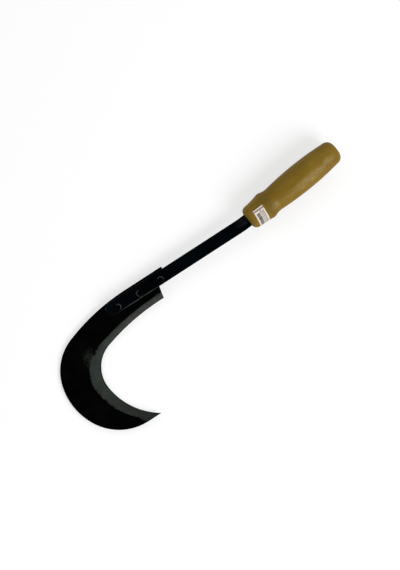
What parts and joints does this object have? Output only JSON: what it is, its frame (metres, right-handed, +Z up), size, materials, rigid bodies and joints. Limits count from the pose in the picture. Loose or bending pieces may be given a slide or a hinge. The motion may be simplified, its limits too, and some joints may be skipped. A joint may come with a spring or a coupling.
{
  "type": "sickle",
  "caption": "Hand sickle: a wide black crescent blade with a ground inner edge, riveted to a flat bar that runs into a turned wooden handle with a blank paper label.",
  "frame": {"origin": "middle of the outer box at the height of the table that the sickle lies on", "axes": "+X along the flat bar towards the handle's butt, +Y to the spine side of the blade, +Z up, out of the face with the ground bevel and the rivet heads; the blade's plane leans 2.35 degrees, as the sickle lies on its handle's bead and the outside of the crescent"},
  "size_m": [0.4336, 0.1664, 0.0373],
  "materials": {
    "blade_paint": "satin black paint on steel, worn off the ground bevel",
    "bar_paint": "satin black paint on steel",
    "handle_wood": "turned hardwood under an ochre varnish",
    "label_paper": "white paper with a satin face"
  },
  "bodies": {
    "root": {"blade": "blade_paint", "shank_bar": "bar_paint", "rivet_1": "bar_paint", "rivet_2": "bar_paint", "rivet_3": "bar_paint", "handle": "handle_wood", "paper_label": "label_paper"}
  },
  "joints": []
}
